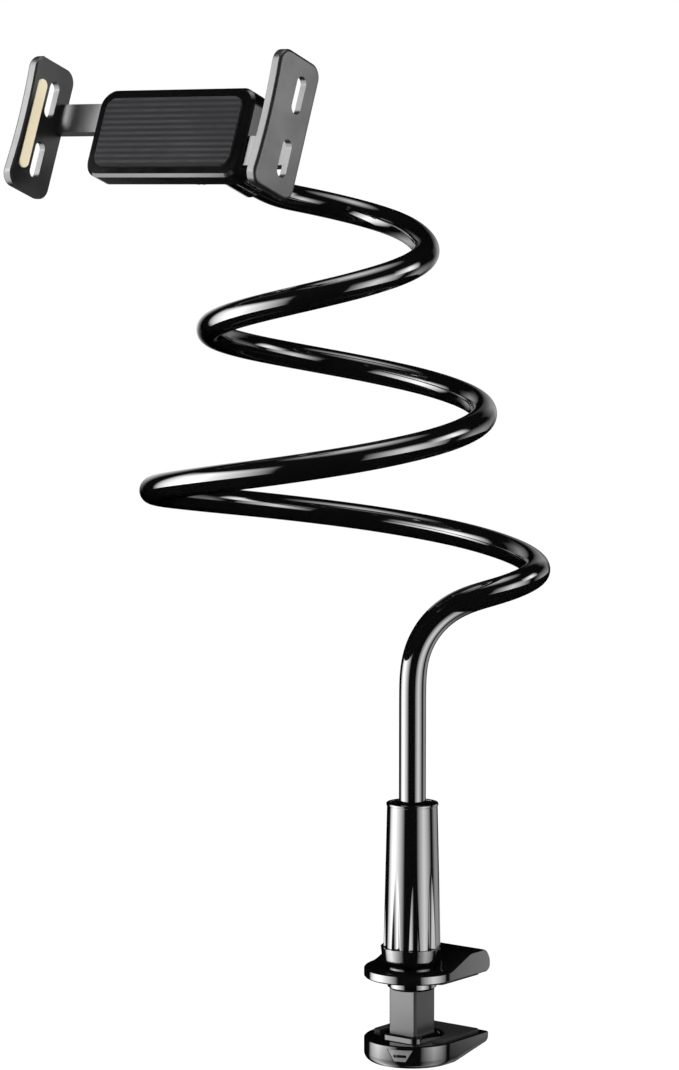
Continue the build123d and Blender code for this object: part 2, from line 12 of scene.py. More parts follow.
import bpy
import numpy as np
from mathutils import Matrix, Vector
from numpy.typing import NDArray


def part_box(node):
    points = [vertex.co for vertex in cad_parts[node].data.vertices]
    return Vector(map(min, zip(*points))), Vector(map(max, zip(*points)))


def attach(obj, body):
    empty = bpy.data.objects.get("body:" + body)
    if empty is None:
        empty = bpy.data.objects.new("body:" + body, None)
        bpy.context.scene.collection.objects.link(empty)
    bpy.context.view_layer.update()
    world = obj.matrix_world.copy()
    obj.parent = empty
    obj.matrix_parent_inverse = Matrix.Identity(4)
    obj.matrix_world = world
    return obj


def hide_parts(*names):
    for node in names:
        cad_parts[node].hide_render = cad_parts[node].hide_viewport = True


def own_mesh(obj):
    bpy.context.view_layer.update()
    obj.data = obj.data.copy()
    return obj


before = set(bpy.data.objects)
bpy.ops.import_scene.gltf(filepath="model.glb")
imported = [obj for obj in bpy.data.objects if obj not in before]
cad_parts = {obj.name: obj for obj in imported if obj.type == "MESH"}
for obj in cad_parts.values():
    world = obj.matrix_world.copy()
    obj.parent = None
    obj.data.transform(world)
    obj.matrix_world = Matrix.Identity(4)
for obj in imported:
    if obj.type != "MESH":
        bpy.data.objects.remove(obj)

Points = NDArray[np.float64]
Pair = tuple[float, float]
Triple = tuple[float, float, float]
LOG = logging.getLogger("gooseneck_holder")
WHITE = (1.0, 1.0, 1.0, 1.0)
# Centre of the ball joint, and how far the cradle on it leans back.
BALL = (-0.101, -0.0395, 0.4105)
CRADLE_TILT = np.radians(20.4)
# Corners closer than WELD are joined, and edges that turn by less than CREASE are shaded smooth.
WELD = 0.000002
CREASE = np.radians(32.0)
# Weight of large faces over small ones in the shading, where 50 is even.
FLAT_WEIGHT = 80
# A line that leans less than this counts as upright.
UPRIGHT = 0.0001


class Grain(Enum):
    """What the skin of a finish looks like up close: its noise's octaves and stretch.

    PEEL is the faint waviness of a polished moulding, MATT the even grain of an etched mould or of
    cast rubber, DRAWN the lines along a hose that came through a die, and BRUSHED the level lines
    of brushed steel.
    """

    PEEL = (0.5, (1.0, 1.0, 1.0))
    MATT = (3.0, (1.0, 1.0, 1.0))
    DRAWN = (1.0, (40.0, 1.0, 1.0))
    BRUSHED = (2.0, (12.0, 12.0, 1.0))

    def __init__(self, detail: float, stretch: Triple) -> None:
        """Keep the two values under their names."""
        self.detail = detail
        self.stretch = stretch


@dataclass(frozen=True)
class Finish:
    """One material of the holder, with its colour, gloss and grain."""

    name: str
    slot: str
    colour: Triple
    shade: Triple
    roughness: Pair
    grain: Grain
    grain_size: float
    grain_height: float
    metallic: float = 0.0
    ior: float = 1.5
    coat: float = 0.0
    coat_roughness: float = 0.04
    patch_size: float = 0.03
    patch_detail: float = 2.0
    smudge_size: float = 0.012
    smudge_detail: float = 4.0
    smudge_range: Pair = (0.35, 0.65)

    def material(self) -> bpy.types.Material:
        """Build the node material, or hand back the one made before.

        The colour drifts between colour and shade on soft patches, the roughness between its two
        values on smudges, and the grain is a bump of the given size and height.

        Returns:
            The Blender material.
        """
        title = f"{self.name}_finish"
        made = bpy.data.materials.get(title)
        if made is not None:
            return made
        made = bpy.data.materials.new(title)
        made.use_nodes = True
        tree = made.node_tree
        shader = tree.nodes["Principled BSDF"]
        shader.inputs["Metallic"].default_value = self.metallic
        shader.inputs["IOR"].default_value = self.ior
        shader.inputs["Coat Weight"].default_value = self.coat
        shader.inputs["Coat Roughness"].default_value = self.coat_roughness
        place = tree.nodes.new("ShaderNodeTexCoord")
        where = place.outputs["UV" if self.grain is Grain.DRAWN else "Object"]
        patches = self._noise(tree, where, self.patch_size, self.patch_detail)
        tint = tree.nodes.new("ShaderNodeMix")
        tint.data_type = "RGBA"
        tint.inputs["A"].default_value = (*self.colour, 1.0)
        tint.inputs["B"].default_value = (*self.shade, 1.0)
        tree.links.new(patches, tint.inputs["Factor"])
        tree.links.new(tint.outputs["Result"], shader.inputs["Base Color"])
        smudges = self._noise(tree, where, self.smudge_size, self.smudge_detail)
        gloss = tree.nodes.new("ShaderNodeMapRange")
        gloss.inputs["From Min"].default_value = self.smudge_range[0]
        gloss.inputs["From Max"].default_value = self.smudge_range[1]
        gloss.inputs["To Min"].default_value = self.roughness[0]
        gloss.inputs["To Max"].default_value = self.roughness[1]
        tree.links.new(smudges, gloss.inputs["Value"])
        tree.links.new(gloss.outputs["Result"], shader.inputs["Roughness"])
        bump = tree.nodes.new("ShaderNodeBump")
        bump.inputs["Strength"].default_value = 1.0
        bump.inputs["Distance"].default_value = self.grain_height
        grain = self._noise(tree, where, self.grain_size, self.grain.detail, self.grain.stretch)
        tree.links.new(grain, bump.inputs["Height"])
        tree.links.new(bump.outputs["Normal"], shader.inputs["Normal"])
        return made

    @staticmethod
    def _noise(
        tree: bpy.types.NodeTree,
        where: bpy.types.NodeSocket,
        size: float,
        detail: float,
        stretch: Triple = (1.0, 1.0, 1.0),
    ) -> bpy.types.NodeSocket:
        """Noise whose blobs are about as large as size.

        Args:
            tree: Node tree to add to.
            where: Coordinates that the noise reads, in metres.
            size: Size of a blob in metres.
            detail: Octaves of finer noise.
            stretch: How many times longer a blob is along each coordinate.

        Returns:
            The noise's value socket.
        """
        mapping = tree.nodes.new("ShaderNodeMapping")
        mapping.inputs["Scale"].default_value = tuple(1.0 / (size * factor) for factor in stretch)
        noise = tree.nodes.new("ShaderNodeTexNoise")
        noise.inputs["Scale"].default_value = 1.0
        noise.inputs["Detail"].default_value = detail
        tree.links.new(where, mapping.inputs["Vector"])
        tree.links.new(mapping.outputs["Vector"], noise.inputs["Vector"])
        return noise.outputs["Fac"]

    def wear(self, piece: bpy.types.Object) -> None:
        """Put the finish on a piece as its only material."""
        piece.data.materials.clear()
        piece.data.materials.append(self.material())


GLOSS_BLACK = Finish(
    "gloss_black", "gloss_black", colour=(0.002, 0.002, 0.0022), shade=(0.003, 0.003, 0.0032),
    roughness=(0.045, 0.075), grain=Grain.PEEL, grain_size=0.004, grain_height=0.000003,
    ior=1.55, coat=0.3,
)
HOUSING_BLACK = Finish(
    "housing_black", "gloss_black", colour=(0.002, 0.002, 0.0022), shade=(0.003, 0.003, 0.0032),
    roughness=(0.12, 0.17), grain=Grain.PEEL, grain_size=0.004, grain_height=0.000003, ior=1.3,
)
HOSE_BLACK = Finish(
    "hose_black", "hose_black", colour=(0.002, 0.002, 0.0022), shade=(0.003, 0.003, 0.0032),
    roughness=(0.04, 0.07), grain=Grain.DRAWN, grain_size=0.0015, grain_height=0.000002,
    ior=1.55, coat=0.3,
)
POST_BLACK = Finish(
    "post_black", "post_black", colour=(0.030, 0.030, 0.031), shade=(0.040, 0.040, 0.041),
    roughness=(0.16, 0.24), grain=Grain.PEEL, grain_size=0.003, grain_height=0.000004, ior=1.32,
)
JAW_SATIN = Finish(
    "jaw_satin", "jaw_grey", colour=(0.005, 0.005, 0.0053), shade=(0.008, 0.008, 0.0084),
    roughness=(0.28, 0.35), grain=Grain.MATT, grain_size=0.0004, grain_height=0.000004, ior=1.36,
)
INSERT_GREY = Finish(
    "insert_grey", "insert_grey", colour=(0.13, 0.13, 0.133), shade=(0.16, 0.16, 0.163),
    roughness=(0.25, 0.35), grain=Grain.MATT, grain_size=0.0004, grain_height=0.000008,
)
PAD_RUBBER = Finish(
    "pad_rubber", "pad_rubber", colour=(0.012, 0.012, 0.013), shade=(0.020, 0.020, 0.021),
    roughness=(0.60, 0.78), grain=Grain.MATT, grain_size=0.0006, grain_height=0.00003, ior=1.2,
)
GRIP_RUBBER = Finish(
    "grip_rubber", "pad_rubber", colour=(0.012, 0.012, 0.013), shade=(0.018, 0.018, 0.019),
    roughness=(0.50, 0.65), grain=Grain.MATT, grain_size=0.0006, grain_height=0.00001, ior=1.15,
)
STRIP_CREAM = Finish(
    "strip_cream", "strip_cream", colour=(0.78, 0.69, 0.50), shade=(0.70, 0.60, 0.42),
    roughness=(0.48, 0.62), grain=Grain.MATT, grain_size=0.0008, grain_height=0.00002,
)
BRIGHT_STEEL = Finish(
    "bright_steel", "bright_steel", colour=(0.72, 0.72, 0.74), shade=(0.62, 0.62, 0.64),
    roughness=(0.08, 0.16), grain=Grain.BRUSHED, grain_size=0.0004, grain_height=0.000002,
    metallic=1.0,
)
SCREW_STEEL = Finish(
    "screw_steel", "screw_steel", colour=(0.50, 0.50, 0.52), shade=(0.40, 0.40, 0.42),
    roughness=(0.22, 0.34), grain=Grain.BRUSHED, grain_size=0.0003, grain_height=0.000004,
    metallic=1.0,
)
WASHER_WHITE = Finish(
    "washer_white", "washer_white", colour=(0.72, 0.72, 0.69), shade=(0.64, 0.64, 0.60),
    roughness=(0.35, 0.45), grain=Grain.MATT, grain_size=0.0005, grain_height=0.000008,
)


def unit(vectors: Points) -> Points:
    """The vectors, one in each row, at length one."""
    return vectors / np.linalg.norm(vectors, axis=-1, keepdims=True)


def cradle_axes() -> Points:
    """The cradle's axes, turned about X by its tilt: across, back along the ball's stud, and up."""
    cosine, sine = np.cos(CRADLE_TILT), np.sin(CRADLE_TILT)
    return np.array([[1.0, 0.0, 0.0], [0.0, cosine, -sine], [0.0, sine, cosine]])


def placed(x: Points, y: Points, z: Points, origin: Points) -> Matrix:
    """Matrix that turns an object's axes to the given ones and moves it to the origin given.

    Args:
        x: Direction of the object's X axis.
        y: Direction of its Y axis.
        z: Direction of its Z axis.
        origin: Where its own origin goes.

    Returns:
        The matrix.
    """
    matrix = np.eye(4)
    matrix[:3] = np.stack([x, y, z, origin], axis=1)
    return Matrix(matrix.tolist())


def rounded_line(corners: Points, trims: Points, arc: int, run: int) -> Points:
    """A line of straight runs joined by circular arcs.

    Each arc is a rational quadratic curve: its ends lie on the two runs, one trim away from the
    corner, and the corner has the cosine of half the turn as its weight, which makes it a circle.

    Args:
        corners: Corner points, one in each row.
        trims: Length that each inner corner's arc takes from the runs beside it.
        arc: Points on an arc.
        run: Points inside a run.

    Returns:
        The points along the line, one in each row.
    """
    ways = unit(np.diff(corners, axis=0))
    bends = corners[1:-1]
    start = bends - ways[:-1] * trims[:, None]
    end = bends + ways[1:] * trims[:, None]
    weight = np.sqrt((1 + np.sum(ways[:-1] * ways[1:], axis=1)) / 2)[:, None, None]
    along = np.linspace(0, 1, arc)[None, :, None]
    first, middle, last = (1 - along) ** 2, 2 * along * (1 - along) * weight, along**2
    arcs = first * start[:, None] + middle * bends[:, None] + last * end[:, None]
    arcs /= first + middle + last
    leave = np.concatenate([corners[:1], end])[:, None]
    reach = np.concatenate([start, corners[-1:]])[:, None]
    share = np.linspace(0, 1, run + 2)[None, 1:-1, None]
    runs = leave + (reach - leave) * share
    inner = np.concatenate([runs[:-1], arcs], axis=1).reshape(-1, corners.shape[1])
    return np.concatenate([corners[:1], inner, runs[-1], corners[-1:]])


def even_line(line: Points, spacing: float) -> Points:
    """The same line with points at even distances, read off at shares of its summed length.

    Args:
        line: Points along the line, one in each row.
        spacing: Distance wanted between points.

    Returns:
        The evenly spaced points.
    """
    along = np.concatenate([[0.0], np.cumsum(np.linalg.norm(np.diff(line, axis=0), axis=1))])
    wanted = np.linspace(0, along[-1], int(along[-1] / spacing) + 1)
    return np.stack([np.interp(wanted, along, column) for column in line.T], axis=1)


def eased_line(line: Points, reach: int, passes: int) -> Points:
    """The line with its curvature evened out by running means.

    The line is continued past its ends by its own half turn about them, so that the ends stay.

    Args:
        line: Evenly spaced points, one in each row.
        reach: Points on each side that one running mean takes in.
        passes: Running means, one after another.

    Returns:
        As many points as before.
    """
    window = np.ones(2 * reach + 1) / (2 * reach + 1)
    for _ in range(passes):
        before = 2 * line[0] - line[reach:0:-1]
        after = 2 * line[-1] - line[-2 : -reach - 2 : -1]
        longer = np.concatenate([before, line, after])
        line = np.stack([np.convolve(column, window, "valid") for column in longer.T], axis=1)
    return line


def tube_grid(line: Points, radius: float, around: int, side: Points) -> Points:
    """A round tube along a line, as a grid of points.

    Each ring stands square to the line. Its first spoke points up as far as it can, and where the
    line is upright, to the given side.

    Args:
        line: Points along the tube's middle, one in each row.
        radius: Radius of the tube.
        around: Points on each ring.
        side: Direction of the first spoke where the line is upright.

    Returns:
        Points as rings by spokes by coordinates.
    """
    way = unit(np.gradient(line, axis=0))
    up = np.array([0.0, 0.0, 1.0])
    lean = up - way * way[:, 2:3]
    size = np.linalg.norm(lean, axis=1, keepdims=True)
    spoke = np.where(size > UPRIGHT, lean / np.maximum(size, UPRIGHT), side)
    other = np.cross(way, spoke)
    angle = np.linspace(0, 2 * np.pi, around, endpoint=False)[None, :, None]
    ring = spoke[:, None] * np.cos(angle) + other[:, None] * np.sin(angle)
    return line[:, None] + radius * ring


def grid_faces(rows: int, columns: int, close_rows: bool) -> NDArray[np.int64]:
    """Quads of a grid whose columns run round and join up.

    Args:
        rows: Rows of points.
        columns: Points in each row.
        close_rows: Whether the last row joins the first.

    Returns:
        Four point numbers for each quad.
    """
    last = rows if close_rows else rows - 1
    row = np.arange(last)[:, None]
    column = np.arange(columns)[None, :]
    following = (column + 1) % columns
    here = row * columns
    above = ((row + 1) % rows) * columns
    quads = [here + column, here + following, above + following, above + column]
    return np.stack(quads, axis=-1).reshape(-1, 4)


def grid_piece(name: str, grid: Points, close_rows: bool = False) -> bpy.types.Object:
    """Make a smooth mesh piece from a grid of points whose columns run round.

    A grid that is open at its ends gets a flat face on each end ring.

    Args:
        name: Name of the piece.
        grid: Points as rows by columns by coordinates.
        close_rows: Whether the last row joins the first.

    Returns:
        The piece, at the origin.
    """
    rows, columns = grid.shape[:2]
    faces = grid_faces(rows, columns, close_rows).tolist()
    if not close_rows:
        faces.append(list(range(columns))[::-1])
        faces.append(list(range((rows - 1) * columns, rows * columns)))
    mesh = bpy.data.meshes.new(name)
    mesh.from_pydata(grid.reshape(-1, 3), [], faces)
    mesh.polygons.foreach_set("use_smooth", np.ones(len(faces), dtype=bool))
    mesh.update()
    piece = bpy.data.objects.new(name, mesh)
    bpy.context.scene.collection.objects.link(piece)
    return piece


def wrap_uv(tube: bpy.types.Object, rings: int, around: int, spacing: float, girth: float) -> None:
    """Give a tube a map of real lengths: along it and around it.

    Every face has corners of its own in the map, so the map runs on over the seam. The two end
    faces lie at nought.

    Args:
        tube: Piece made from an open grid of rings.
        rings: Rings along the tube.
        around: Points on each ring.
        spacing: Distance between rings.
        girth: Length around the tube.
    """
    ring = np.arange(rings - 1)[:, None, None] + np.array([0, 0, 1, 1])
    spoke = np.arange(around)[None, :, None] + np.array([0, 1, 1, 0])
    sides = np.stack(np.broadcast_arrays(ring * spacing, spoke * girth / around), axis=-1)
    ends = np.zeros((2 * around, 2))
    layer = tube.data.uv_layers.new(name="lengths")
    layer.data.foreach_set("uv", np.concatenate([sides.reshape(-1, 2), ends]).ravel())


def soft_shading() -> bpy.types.NodeTree:
    """Geometry nodes that join loose triangles and smooth all but the creases, made once.

    Returns:
        The node group.
    """
    made = bpy.data.node_groups.get("soft_shading")
    if made is not None:
        return made
    tree = bpy.data.node_groups.new("soft_shading", "GeometryNodeTree")
    tree.interface.new_socket("Geometry", in_out="INPUT", socket_type="NodeSocketGeometry")
    tree.interface.new_socket("Geometry", in_out="OUTPUT", socket_type="NodeSocketGeometry")
    start = tree.nodes.new("NodeGroupInput")
    merge = tree.nodes.new("GeometryNodeMergeByDistance")
    merge.inputs["Distance"].default_value = WELD
    faces = tree.nodes.new("GeometryNodeSetShadeSmooth")
    faces.domain = "FACE"
    angle = tree.nodes.new("GeometryNodeInputMeshEdgeAngle")
    below = tree.nodes.new("FunctionNodeCompare")
    below.operation = "LESS_THAN"
    below.inputs["B"].default_value = CREASE
    edges = tree.nodes.new("GeometryNodeSetShadeSmooth")
    edges.domain = "EDGE"
    end = tree.nodes.new("NodeGroupOutput")
    tree.links.new(start.outputs[0], merge.inputs["Geometry"])
    tree.links.new(merge.outputs["Geometry"], faces.inputs["Geometry"])
    tree.links.new(faces.outputs["Geometry"], edges.inputs["Geometry"])
    tree.links.new(angle.outputs["Unsigned Angle"], below.inputs["A"])
    tree.links.new(below.outputs["Result"], edges.inputs["Shade Smooth"])
    tree.links.new(edges.outputs["Geometry"], end.inputs[0])
    return tree


def soften(piece: bpy.types.Object) -> None:
    """Smooth a piece's shading, with its creases sharp and its flat faces flat.

    Args:
        piece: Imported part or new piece.
    """
    smooth = piece.modifiers.new("soft_shading", "NODES")
    smooth.node_group = soft_shading()
    weigh = piece.modifiers.new("flat_faces_first", "WEIGHTED_NORMAL")
    weigh.keep_sharp = True
    weigh.weight = FLAT_WEIGHT


@dataclass
class Gooseneck:
    """The bendable arm's hose, from the post to the ball's end cap.

    The coil's radius grows by radius_growth on each turn down. Past its top it follows
    lead_out_radii, one step after another, and ends along the ball's stud, where neck_straight and
    hose_end are distances from the ball. A corner's arc takes arc_share of the shorter run beside
    it.
    """

    hose_radius: float = 0.0067
    seat_height: float = 0.047
    bend_height: float = 0.184
    bend_radius: float = 0.040
    coil_axis: Pair = (-0.050, -0.001)
    heading: float = np.radians(38.0)
    top_radius: float = 0.047
    radius_growth: float = 0.0288
    top_height: float = 0.3635
    pitch: float = 0.081
    turns: float = 2.0
    step: float = np.radians(30.0)
    lead_out_radii: tuple[float, ...] = (0.050, 0.058, 0.054)
    lead_in_drop: float = 0.005
    neck_straight: float = 0.060
    hose_end: float = 0.0245
    arc_share: float = 0.48
    arc_points: int = 24
    run_points: int = 12
    ease_reach: int = 5
    ease_passes: int = 3
    spacing: float = 0.0013
    around: int = 44

    def coil_corners(self, angle: Points, radius: Points) -> Points:
        """Corners of a conical helix that winds down as the angle grows.

        A corner lies outside its radius by the cosine of half a step, so the runs touch the helix.

        Args:
            angle: Angles down the coil from its upper end.
            radius: Radius at each angle.

        Returns:
            Points, one in each row.
        """
        turn = self.heading - angle
        reach = radius / np.cos(self.step / 2)
        x = self.coil_axis[0] + reach * np.cos(turn)
        y = self.coil_axis[1] + reach * np.sin(turn)
        return np.stack([x, y, self.top_height - self.pitch * angle / (2 * np.pi)], axis=1)

    def corners(self) -> Points:
        """Corners of the whole path, from the post's seat to the end cap.

        Returns:
            Points, one in each row.
        """
        last = 2 * np.pi * self.turns - self.step / 2
        angle = np.arange(last, -self.step, -self.step)
        coil = self.coil_corners(angle, self.top_radius + self.radius_growth * angle / (2 * np.pi))
        lead = angle[-1] - self.step * np.arange(1, len(self.lead_out_radii) + 1)
        lead_out = self.coil_corners(lead, np.array(self.lead_out_radii))
        side = self.side()
        lead_in = side * (coil[0] @ side) + np.array([0, 0, coil[0, 2] - self.lead_in_drop])
        back = cradle_axes()[1]
        ends = np.array(BALL) + np.outer([self.neck_straight, self.hose_end], back)
        stem = np.array([[0, 0, self.seat_height], [0, 0, self.bend_height]])
        return np.concatenate([stem, lead_in[None], coil, lead_out, ends])

    def side(self) -> Points:
        """Level direction in which the stem bends away from the post."""
        return np.array([np.cos(self.heading), np.sin(self.heading), 0.0])

    def line(self) -> Points:
        """Middle of the hose: runs and arcs as wide as the runs allow, with eased curvature.

        The first bend, out of the stem, is no wider than bend_radius.

        Returns:
            Evenly spaced points, one in each row.
        """
        corners = self.corners()
        legs = np.diff(corners, axis=0)
        length = np.linalg.norm(legs, axis=1)
        trims = self.arc_share * np.minimum(length[:-1], length[1:])
        ways = unit(legs)
        half_turn = np.arccos(ways[0] @ ways[1]) / 2
        trims[0] = min(trims[0], self.bend_radius * np.tan(half_turn))
        path = rounded_line(corners, trims, self.arc_points, self.run_points)
        return eased_line(even_line(path, self.spacing), self.ease_reach, self.ease_passes)

    def build(self) -> bpy.types.Object:
        """Make the hose in place of the plain arm.

        Returns:
            The hose.
        """
        line = self.line()
        hose = grid_piece("hose", tube_grid(line, self.hose_radius, self.around, -self.side()))
        wrap_uv(hose, len(line), self.around, self.spacing, 2 * np.pi * self.hose_radius)
        HOSE_BLACK.wear(hose)
        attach(hose, "arm")
        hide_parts("gooseneck_arm")
        return hose


@dataclass
class HandSleeve:
    """The fluted sleeve that tightens the clamp.

    Sizes that end in round are lengths that a corner's arc takes from the runs beside it.
    """

    base: float = 0.0144
    height: float = 0.0746
    foot_radius: float = 0.0143
    top_radius: float = 0.0126
    rim_height: float = 0.0014
    rim_proud: float = 0.00035
    cavity_radius: float = 0.0115
    nut_radius: float = 0.01125
    nut_length: float = 0.030
    foot_round: float = 0.0004
    step_round: float = 0.00015
    rim_round: float = 0.0003
    mouth_round: float = 0.0005
    ledge_round: float = 0.0001
    bore_round: float = 0.0003
    flutes: int = 9
    flute_turn: float = np.radians(31.0)
    flute_depth: float = 0.00115
    flute_width: float = 0.0054
    flute_share: float = 0.54
    flute_edge: float = 0.00008
    arc_points: int = 5
    run_points: int = 2
    row_spacing: float = 0.0007
    most_rows: int = 110
    around: int = 360

    def profile(self) -> Points:
        """Closed half section, from the foot up the outside and back down the bore.

        Returns:
            Radius and height, one point in each row.
        """
        top = self.base + self.height
        low = top - self.rim_height
        nut = self.base + self.nut_length
        mouth = self.top_radius + self.rim_proud
        foot = (self.foot_radius + self.nut_radius) / 2
        corners = np.array([
            [foot, self.base, 0.0],
            [self.foot_radius, self.base, self.foot_round],
            [self.top_radius, low, self.step_round],
            [mouth, low, self.step_round],
            [mouth, top, self.rim_round],
            [self.cavity_radius, top, self.mouth_round],
            [self.cavity_radius, nut, self.ledge_round],
            [self.nut_radius, nut, self.ledge_round],
            [self.nut_radius, self.base, self.bore_round],
            [foot, self.base, 0.0],
        ])
        return rounded_line(corners[:, :2], corners[1:-1, 2], self.arc_points, self.run_points)

    def outside(self, radius: Points) -> NDArray[np.bool_]:
        """Whether each radius belongs to the sleeve's outer side."""
        return radius > self.top_radius - self.rim_proud

    def outer_rows(self, profile: Points) -> Points:
        """The profile with more rows on its long tapered side, where the flutes need them.

        An outer run gets as many as fit at row_spacing, and most_rows at the most.

        Args:
            profile: Radius and height, one point in each row.

        Returns:
            The same section with more points in its outer runs.
        """
        gap = np.linalg.norm(np.diff(profile, axis=0), axis=1)
        count = np.clip((gap / self.row_spacing).astype(int), 1, self.most_rows)
        count[~self.outside(profile[1:, 0])] = 1
        first = np.repeat(np.arange(len(count)), count)
        begin = np.cumsum(count) - count
        share = (np.arange(len(first)) - begin[first]) / count[first]
        return profile[first] + (profile[first + 1] - profile[first]) * share[:, None]

    def grid(self) -> Points:
        """Surface of the sleeve: the turned profile less its hollow flutes.

        A flute is deepest at the foot and runs out upwards in a straight line. Across, its depth
        falls off as the square of the distance from its middle, and its edges are eased.

        Returns:
            Points as rows by columns by coordinates.
        """
        rows = self.outer_rows(self.profile())
        radius, height = rows[:, :1], rows[:, 1:]
        angle = np.linspace(0, 2 * np.pi, self.around, endpoint=False)[None, :]
        pitch = 2 * np.pi / self.flutes
        away = (((angle - self.flute_turn) / pitch + 0.5) % 1.0 - 0.5) * pitch * radius
        length = (self.height - self.rim_height) * self.flute_share
        deep = self.flute_depth * (1 - (height - self.base) / length)
        cut = deep - self.flute_depth * (2 * away / self.flute_width) ** 2
        cut = (cut + np.sqrt(cut**2 + self.flute_edge**2)) / 2
        turned = radius - np.where(self.outside(radius), cut, 0.0)
        up = np.broadcast_to(height, turned.shape)
        return np.stack([turned * np.cos(angle), turned * np.sin(angle), up], axis=-1)

    def build(self) -> bpy.types.Object:
        """Make the sleeve in place of the plain one.

        Returns:
            The sleeve.
        """
        sleeve = grid_piece("sleeve", self.grid(), close_rows=True)
        GLOSS_BLACK.wear(sleeve)
        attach(sleeve, "hand_sleeve")
        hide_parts("tightening_sleeve")
        return sleeve


@dataclass
class JawSpring:
    """The coiled spring that pulls a side jaw in, wound in the room of its plain tube.

    Its joint and anchor_high are not used: it keeps its wound length however its jaw slides.
    """

    node: str
    joint: str
    anchor_high: bool
    turns: int = 26
    turn_steps: int = 20
    wire_radius: float = 0.00035
    around: int = 8
    closed_share: float = 0.4

    def build(self) -> bpy.types.Object:
        """Make the spring as a helix of round wire along X, as wide as its tube.

        Returns:
            The spring.
        """
        low, high = (np.array(corner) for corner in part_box(self.node))
        middle, reach = (low + high) / 2, (high - low) / 2
        radius = reach[1] - self.wire_radius
        angle = np.linspace(0, 2 * np.pi * self.turns, self.turn_steps * self.turns)
        x = np.linspace(low[0] + self.wire_radius, high[0] - self.wire_radius, len(angle))
        y = middle[1] + radius * np.cos(angle)
        z = middle[2] + radius * np.sin(angle)
        line = np.stack([x, y, z], axis=1)
        grid = tube_grid(line, self.wire_radius, self.around, np.array([1.0, 0.0, 0.0]))
        spring = grid_piece(self.node.replace("_spring", "_coil"), grid)
        SCREW_STEEL.wear(spring)
        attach(spring, "holder")
        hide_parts(self.node)
        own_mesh(spring)
        return spring


@dataclass
class GripPad:
    """The soft pad on the cradle's front, with low ribs across it.

    Its place is given from the ball in the cradle's axes, where front is negative: the pad's face
    lies before the ball.
    """

    width: float = 0.0877
    height: float = 0.0357
    corner: float = 0.00585
    front: float = -0.030
    thickness: float = 0.002
    edge: float = 0.0004
    ribs: int = 12
    rib_height: float = 0.0003
    rib_steps: int = 14
    corner_steps: int = 32
    edge_steps: int = 6

    def levels(self) -> Points:
        """Heights of the slices through the pad.

        They are even on the straight part of its sides, and follow the sine of even angles where
        the corners turn in.

        Returns:
            The heights from the pad's middle, upwards.
        """
        straight = self.height / 2 - self.corner
        swing = np.linspace(0, np.pi / 2, self.corner_steps)[1:]
        bend = straight + self.corner * np.sin(swing)
        count = int(2 * straight / self.height * self.ribs * self.rib_steps)
        return np.concatenate([-bend[::-1], np.linspace(-straight, straight, count), bend])

    def grid(self) -> Points:
        """Surface of the pad as slices by points round each slice.

        Every slice runs along the front from left to right, with its edges rounded, and back
        along the rear. The ribs stand on the front, and each end of the pad is a crest.

        Returns:
            Points as rows by columns by coordinates.
        """
        up = self.levels()[:, None]
        inset = np.clip(np.abs(up) - (self.height / 2 - self.corner), 0, self.corner)
        reach = self.width / 2 - self.corner + np.sqrt(self.corner**2 - inset**2)
        groove = self.rib_height * (1 - np.cos(2 * np.pi * self.ribs * up / self.height)) / 2
        swing = np.linspace(0, np.pi / 2, self.edge_steps)
        rear = np.zeros(2)
        side = np.concatenate([np.repeat([-1.0, 1.0], self.edge_steps), [1.0, -1.0]])
        flat = np.concatenate([np.cos(swing[::-1]), np.cos(swing), rear])
        narrow = np.concatenate([1 - np.sin(swing[::-1]), 1 - np.sin(swing), rear])
        deep = self.edge * (1 - flat)
        deep[-len(rear) :] = self.thickness
        across = side * (reach - self.edge * narrow)
        back = self.front + deep + groove * flat
        place = np.stack([across, back, np.broadcast_to(up, across.shape)], axis=-1)
        return np.array(BALL) + place @ cradle_axes()

    def build(self) -> bpy.types.Object:
        """Make the pad in place of the plain one.

        Returns:
            The pad.
        """
        pad = grid_piece("grip_pad", self.grid())
        soften(pad)
        GRIP_RUBBER.wear(pad)
        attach(pad, "holder")
        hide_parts("front_pad")
        return pad


class Parts:
    """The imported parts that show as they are, with their finishes."""

    @staticmethod
    def finishes() -> dict[str, Finish]:
        """Finish of each part that stays.

        Returns:
            The finishes by the parts' names.
        """
        worn = {
            GLOSS_BLACK: ("upper_jaw", "lower_jaw", "lock_ring"),
            HOUSING_BLACK: ("rear_cover", "front_cover"),
            POST_BLACK: ("clamp_post",),
            JAW_SATIN: ("left_jaw", "right_jaw"),
            INSERT_GREY: ("nose_insert",),
            PAD_RUBBER: ("upper_jaw_pad", "lower_jaw_pad"),
            STRIP_CREAM: ("left_jaw_strip", "right_jaw_strip"),
            BRIGHT_STEEL: ("ball_stud", "neck_end_cap"),
            SCREW_STEEL: ("post_screw", "neck_set_screw", "cover_screws"),
            WASHER_WHITE: ("thrust_washer",),
        }
        return {node: finish for finish, nodes in worn.items() for node in nodes}

    def dress(self) -> None:
        """Give each part its finish and smooth shading."""
        for node, finish in self.finishes().items():
            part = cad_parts[node]
            finish.wear(part)
            soften(part)
            LOG.info("dressed %s in %s", node, finish.name)


